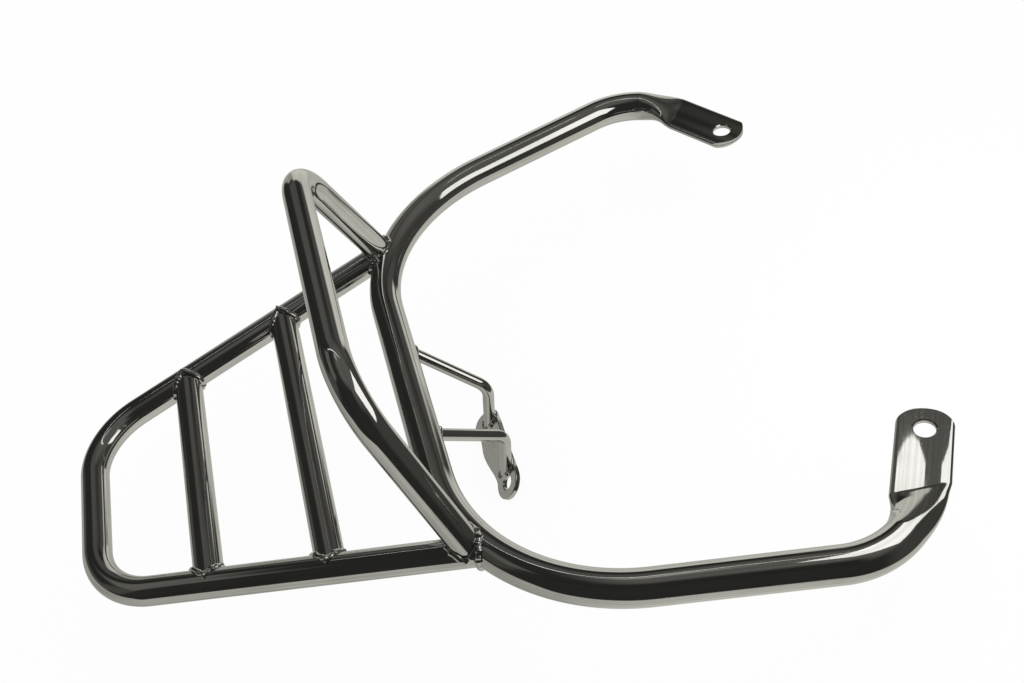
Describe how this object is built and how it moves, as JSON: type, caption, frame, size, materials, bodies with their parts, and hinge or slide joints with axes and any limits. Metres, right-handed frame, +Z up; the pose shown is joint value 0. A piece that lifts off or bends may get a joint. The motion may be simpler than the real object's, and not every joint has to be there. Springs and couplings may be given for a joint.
{
  "type": "motorcycle luggage rack",
  "caption": "Chromed tubular luggage rack with a tapered tray, cross bars, a raised rear grab hoop and long side arms that end in flattened bolt tabs.",
  "frame": {"origin": "on the main hoop's axis line, in the middle of its cross section at the seat end of the tray, in the plane of the tray's tube axes", "axes": "+X to the motorcycle's front, +Y to its left side, +Z up with the tray level"},
  "size_m": [0.4514, 0.4136, 0.1964],
  "materials": {
    "chrome_tube": "bright chrome plate",
    "chrome_bar": "bright chrome plate",
    "chrome_weld": "chrome plate over a rippled weld bead"
  },
  "bodies": {
    "root": {"main_hoop": "chrome_tube", "tray_loop": "chrome_tube", "rear_cross_bar": "chrome_tube", "front_cross_bar": "chrome_tube", "raised_hoop": "chrome_tube", "stay_bar_left": "chrome_bar", "stay_bar_right": "chrome_bar", "bracket_plate": "chrome_bar", "weld_rear_bar_left": "chrome_weld", "weld_rear_bar_right": "chrome_weld", "weld_front_bar_left": "chrome_weld", "weld_front_bar_right": "chrome_weld", "weld_rail_left": "chrome_weld", "weld_rail_right": "chrome_weld", "weld_foot_left": "chrome_weld", "weld_foot_right": "chrome_weld", "weld_stay_left": "chrome_weld", "weld_stay_right": "chrome_weld", "weld_bracket_left": "chrome_weld", "weld_bracket_right": "chrome_weld"}
  },
  "joints": []
}
